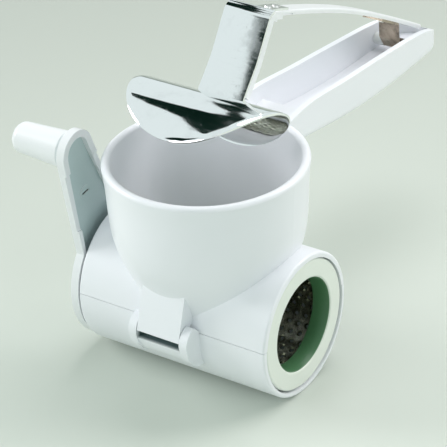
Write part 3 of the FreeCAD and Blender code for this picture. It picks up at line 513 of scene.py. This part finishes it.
# %% Turn a profile round the drum's axis
def turned(name, profile, steps, material):
    """Point (x, r) of the profile goes to (x, r sin a, axis + r cos a) for every angle a."""
    profile = np.array(profile) * MM
    angle = 2 * math.pi * np.arange(steps) / steps
    x = np.repeat(profile[None, :, 0], steps, axis=0)
    y = np.sin(angle)[:, None] * profile[None, :, 1]
    z = AXIS_Z + np.cos(angle)[:, None] * profile[None, :, 1]
    points = np.stack([x, y, z], axis=-1).reshape(-1, 3)
    count = len(profile)
    turn, place = np.meshgrid(np.arange(steps), np.arange(count), indexing="ij")
    onward, after = (turn + 1) % steps, (place + 1) % count
    faces = np.stack([turn * count + place, turn * count + after, onward * count + after,
                      onward * count + place], axis=-1).reshape(-1, 4)
    mesh = bpy.data.meshes.new(name)
    mesh.from_pydata(points.tolist(), [], faces.tolist())
    mesh.materials.append(material)
    return mesh


# The sleeve is painted shade: a dark green sheet that stands for the shade inside the mouth.
shade_liner_mesh = turned("mouth_painted_shade_liner", [(48.5, 22.02), (48.2, 21.75), (40.3, 21.45), (40.0, 21.7),
                                    (40.0, 22.6), (48.5, 22.6)], 96, finishes["green_liner"])
print("liner open edges", outward(shade_liner_mesh, 40))
placed("mouth_painted_shade_liner", shade_liner_mesh, "rotor")

# %% [markdown]
# ## The press plate
# The plate is an oval cut from sheet and arched like a saddle over the drum, and its rim is
# rolled down a little so that no sharp edge is left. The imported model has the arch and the
# outline but a plain edge. Here the plate is one sheet over two parameters: a way round the oval
# and a share of the way out to its rim. The last part of the way out drops, which gives the rim
# its own reflection. A Bevel would round the edge too, but would not bend the sheet.

# %% Saddle with a rolled rim
PLATE_HALF_X = 36.1 * MM
PLATE_HALF_TURN = math.radians(70.8)
PLATE_TILT = math.radians(27.0)
PLATE_THICK = 1.0 * MM
ARCH_R, ARCH_Y, ARCH_Z = 32.2 * MM, -8.02 * MM, 105.54 * MM
LIP_START, LIP_DROP = 0.945, 0.35 * MM


def plate_point(share, angle, depth):
    """x = half share cos a; turn = tilt + half turn share sin a about the arch's axis; the radius
    is the arch's less the depth in the sheet, and less the lip's drop near share = 1."""
    drop = LIP_DROP * np.clip((share - LIP_START) / (1 - LIP_START), 0, 1) ** 2
    radius = ARCH_R - depth - drop
    turn = PLATE_TILT + PLATE_HALF_TURN * share * np.sin(angle)
    return np.stack([PLATE_HALF_X * share * np.cos(angle), ARCH_Y + radius * np.sin(turn),
                     ARCH_Z + radius * np.cos(turn)], axis=-1)


def plate_rings(points_round=144, points_out=36):
    """Rings from the middle of the top, out over the rim and back to the middle underneath."""
    share = 1 - (1 - np.linspace(0.0, 1.0, points_out)[1:]) ** 1.6
    out_and_back = np.concatenate([share, [1.002], share[::-1]])
    depth = np.concatenate([0 * share, [PLATE_THICK / 2], 0 * share + PLATE_THICK])
    angle = 2 * math.pi * np.arange(points_round) / points_round
    return plate_point(out_and_back[:, None], angle[None, :], depth[:, None])


rings = plate_rings()
ring_total, round_total = rings.shape[:2]
poles = [plate_point(np.array(0.0), np.array(0.0), depth) for depth in (0.0, PLATE_THICK)]
plate_points = np.concatenate([rings.reshape(-1, 3), poles])
plate_faces = ring_faces(ring_total, round_total).tolist()
for pole, ring in ((len(plate_points) - 2, 0), (len(plate_points) - 1, ring_total - 1)):
    start = ring * round_total
    plate_faces += [(pole, start + k, start + (k + 1) % round_total) for k in range(round_total)]
plate_mesh = bpy.data.meshes.new("press_plate_rolled")
plate_mesh.from_pydata(plate_points.tolist(), [], plate_faces)
plate_mesh.materials.append(finishes["press_chrome"])
print("plate open edges", outward(plate_mesh, 60))
plate = placed("press_plate_rolled", plate_mesh, "press")
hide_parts("press_plate")
print("plate triangles", sum(len(face.vertices) - 2 for face in plate_mesh.polygons))

# %% [markdown]
# ## Floor, lamps and what the steel mirrors
# The tool stands on a plain pale surface, a grey with a little green in it. One big sheet is
# enough, because the camera looks down and never sees its edge. The floor is lit like the tool,
# so it keeps the soft shadow under the barrel. Its colour also carries painted shade: it darkens
# towards the back left corner, as light falling off.
# Large soft lamps suit white plastic: a small lamp would burn a hard spot on every curve.
# A polished plate has no look of its own, only that of the room it mirrors. It needs a pale room
# and something dark in it, so dark cards stand outside the picture: a flat one for the plate, and
# a bent one, made of three strips, for the arm. Only reflections see them, so they cast no shadow.

# %% Floor
FLOOR_NEAR = (0.635, 0.685, 0.625)
# Painted shade: the floor's colour towards the back left corner, where light is painted as falling off.
FLOOR_PAINTED_SHADE = (0.42, 0.455, 0.415)


def floor_finish():
    """Floor card with painted shade: a little darker towards the back left corner, with a faint cloud.
    """
    r = Recipe("pale_floor")
    cloud = r.noise(1.6, 2.0, 0.5)
    x = r.add("ShaderNodeSeparateXYZ", None, {0: r.place}, "X")
    y = r.add("ShaderNodeSeparateXYZ", None, {0: r.place}, "Y")
    # lit_share runs from the painted shade at the back left to the lit colour at the front.
    lit_share = r.between(x * 0.64 - y * 0.77 + cloud * 0.03, -0.6, 0.22)
    colour = r.mix(lit_share, FLOOR_PAINTED_SHADE, FLOOR_NEAR)
    return r.finish(Base_Color=colour, Roughness=0.6, Specular_IOR_Level=0.2)


def flat_sheet(name, corners, material):
    mesh = bpy.data.meshes.new(name)
    mesh.from_pydata([tuple(corner) for corner in corners], [], [tuple(range(len(corners)))])
    mesh.materials.append(material)
    sheet = bpy.data.objects.new(name, mesh)
    bpy.context.scene.collection.objects.link(sheet)
    return sheet


FLOOR_HALF = 6.0
FLOOR_Z = -0.2 * MM
floor_corners = [(-FLOOR_HALF, -FLOOR_HALF), (FLOOR_HALF, -FLOOR_HALF), (FLOOR_HALF, FLOOR_HALF),
                 (-FLOOR_HALF, FLOOR_HALF)]
flat_sheet("floor", [(x, y, FLOOR_Z) for x, y in floor_corners], floor_finish())
print("floor", 2 * FLOOR_HALF, "m wide")

# %% Dark cards for the reflections
def card_finish():
    r = Recipe("dark_card")
    return r.finish(Base_Color=(0.006, 0.02, 0.016, 1.0), Roughness=0.9, Specular_IOR_Level=0.0)


def dark_card(name, corners):
    """Card that only reflections see."""
    card = flat_sheet(name, [tuple(value * MM for value in corner) for corner in corners], dark_paper)
    card.visible_camera = False
    card.visible_diffuse = False
    card.visible_shadow = False
    card.visible_transmission = False
    return card


dark_paper = card_finish()
PLATE_CARD_Z = 700
PLATE_CARD = [(-470, 362), (-426, 271), (-392, 202), (-364, 152), (-348, 109), (-325, -16),
              (-320, -68), (-306, -68), (-304, 165), (-392, 497), (-1260, 2230), (-1330, 2230),
              (-660, 1061), (-424, 512), (-404, 414), (-416, 394), (-428, 375)]
dark_card("plate_card", [(x, y, PLATE_CARD_Z) for x, y in PLATE_CARD])

# The arm mirrors the room in front of it. Its card is bent like a piece of a drum about the arm's
# foot, so that both flats of the arm see it: an angle up from the front and a reach along x.
ARM_CARD_R, ARM_CARD_Y, ARM_CARD_Z = 400.0, 25.0, 140.0


def bent_card(name, x_left, x_right, angles):
    """Corner at angle a is (x, Y - R cos a, Z + R sin a)."""
    a = np.radians(angles)
    y, z = ARM_CARD_Y - ARM_CARD_R * np.cos(a), ARM_CARD_Z + ARM_CARD_R * np.sin(a)
    for k in range(len(angles) - 1):
        dark_card(f"{name}_{k}_card", [(x_left, y[k], z[k]), (x_right, y[k], z[k]),
                                       (x_right, y[k + 1], z[k + 1]), (x_left, y[k + 1], z[k + 1])])


bent_card("arm_side", -220.5, -150.0, (33, 41, 49, 57))

# %% Soft lamps
AIM = Vector((0.0, 0.02, 0.07))


def soft_lamp(name, direction, distance, size, power, colour):
    """Round lamp of the given size, looking at the middle of the tool."""
    data = bpy.data.lights.new(name, "AREA")
    data.shape = "DISK"
    data.size = size
    data.energy = power
    data.color = colour
    lamp = bpy.data.objects.new(name, data)
    way = Vector(direction).normalized()
    lamp.location = AIM + way * distance
    lamp.rotation_euler = way.to_track_quat("Z", "Y").to_euler()
    bpy.context.scene.collection.objects.link(lamp)
    return lamp


soft_lamp("top_lamp", (0.0, 0.45, 1.0), 1.3, 0.9, 7.2, (1.0, 0.95, 1.0))
soft_lamp("left_lamp", (-1.0, -0.35, 0.5), 1.6, 0.9, 12.9, (1.0, 0.98, 1.0))
soft_lamp("front_lamp", (-0.25, -1.0, 0.6), 1.6, 0.9, 5.8, (0.96, 0.96, 1.0))
soft_lamp("mouth_lamp", (1.0, -0.4, 0.45), 1.5, 0.8, 2.7, (0.95, 0.97, 1.0))
soft_lamp("back_lamp", (0.8, 0.9, 0.8), 1.6, 0.9, 11.4, (1.0, 0.94, 0.95))

# %% World: greenish light from all sides, and a pale room for the camera and for reflections
AMBIENT = (0.82, 1.0, 0.89)
AMBIENT_LEVEL = 0.38
ROOM = (0.77, 0.85, 0.86)
ROOM_LEVEL = 1.0
world = bpy.data.worlds.new("pale_room")
bpy.context.scene.world = world
world.use_nodes = True
tree = world.node_tree
tree.nodes.clear()


def backdrop(colour, level):
    node = tree.nodes.new("ShaderNodeBackground")
    node.inputs["Color"].default_value = (*colour, 1.0)
    node.inputs["Strength"].default_value = level
    return node.outputs[0]


rays = tree.nodes.new("ShaderNodeLightPath")
seen = tree.nodes.new("ShaderNodeMath")
seen.operation = "MAXIMUM"
tree.links.new(rays.outputs["Is Camera Ray"], seen.inputs[0])
mirrored = tree.nodes.new("ShaderNodeMath")
mirrored.operation = "MAXIMUM"
tree.links.new(rays.outputs["Is Glossy Ray"], mirrored.inputs[0])
tree.links.new(rays.outputs["Is Transmission Ray"], mirrored.inputs[1])
tree.links.new(mirrored.outputs[0], seen.inputs[1])
choice = tree.nodes.new("ShaderNodeMixShader")
tree.links.new(seen.outputs[0], choice.inputs[0])
tree.links.new(backdrop(AMBIENT, AMBIENT_LEVEL), choice.inputs[1])
tree.links.new(backdrop(ROOM, ROOM_LEVEL), choice.inputs[2])
outlet = tree.nodes.new("ShaderNodeOutputWorld")
tree.links.new(choice.outputs[0], outlet.inputs["Surface"])
print("room nodes", len(tree.nodes))

# %% [markdown]
# ## Camera
# The tool is seen from above its front, with the mouth on the right. A long lens from over a
# metre away keeps the barrel's lines nearly parallel. The camera is placed by its turn round the
# tool, its height angle and a slight roll, which are easier to read than a matrix.

# %% Camera
TURN = math.radians(34.945)
HEIGHT = math.radians(31.013)
ROLL = math.radians(-2.776)
DISTANCE = 1068.46 * MM
TARGET = Vector((7.78 * MM, 0.0, 73.70 * MM))
FOCAL_PIXELS = 2402.7
IMAGE_WIDTH = 447

away = Vector((math.sin(TURN) * math.cos(HEIGHT), -math.cos(TURN) * math.cos(HEIGHT), math.sin(HEIGHT)))
level = Vector((math.cos(TURN), math.sin(TURN), 0.0))
upright = away.cross(level)
right = level * math.cos(ROLL) + upright * math.sin(ROLL)
up = upright * math.cos(ROLL) - level * math.sin(ROLL)
camera_data = bpy.data.cameras.new("camera")
camera_data.sensor_width = 36.0
camera_data.lens = FOCAL_PIXELS * camera_data.sensor_width / IMAGE_WIDTH
camera_data.clip_end = 50.0
camera = bpy.data.objects.new("camera", camera_data)
turned_to = Matrix((right, up, away)).transposed().to_4x4()
camera.matrix_world = Matrix.Translation(TARGET + away * DISTANCE) @ turned_to
bpy.context.scene.collection.objects.link(camera)
bpy.context.scene.camera = camera
bpy.context.scene.view_settings.view_transform = "Standard"
place = [round(value, 4) for value in camera.matrix_world.translation]
print("lens", round(camera_data.lens, 2), "camera at", place)
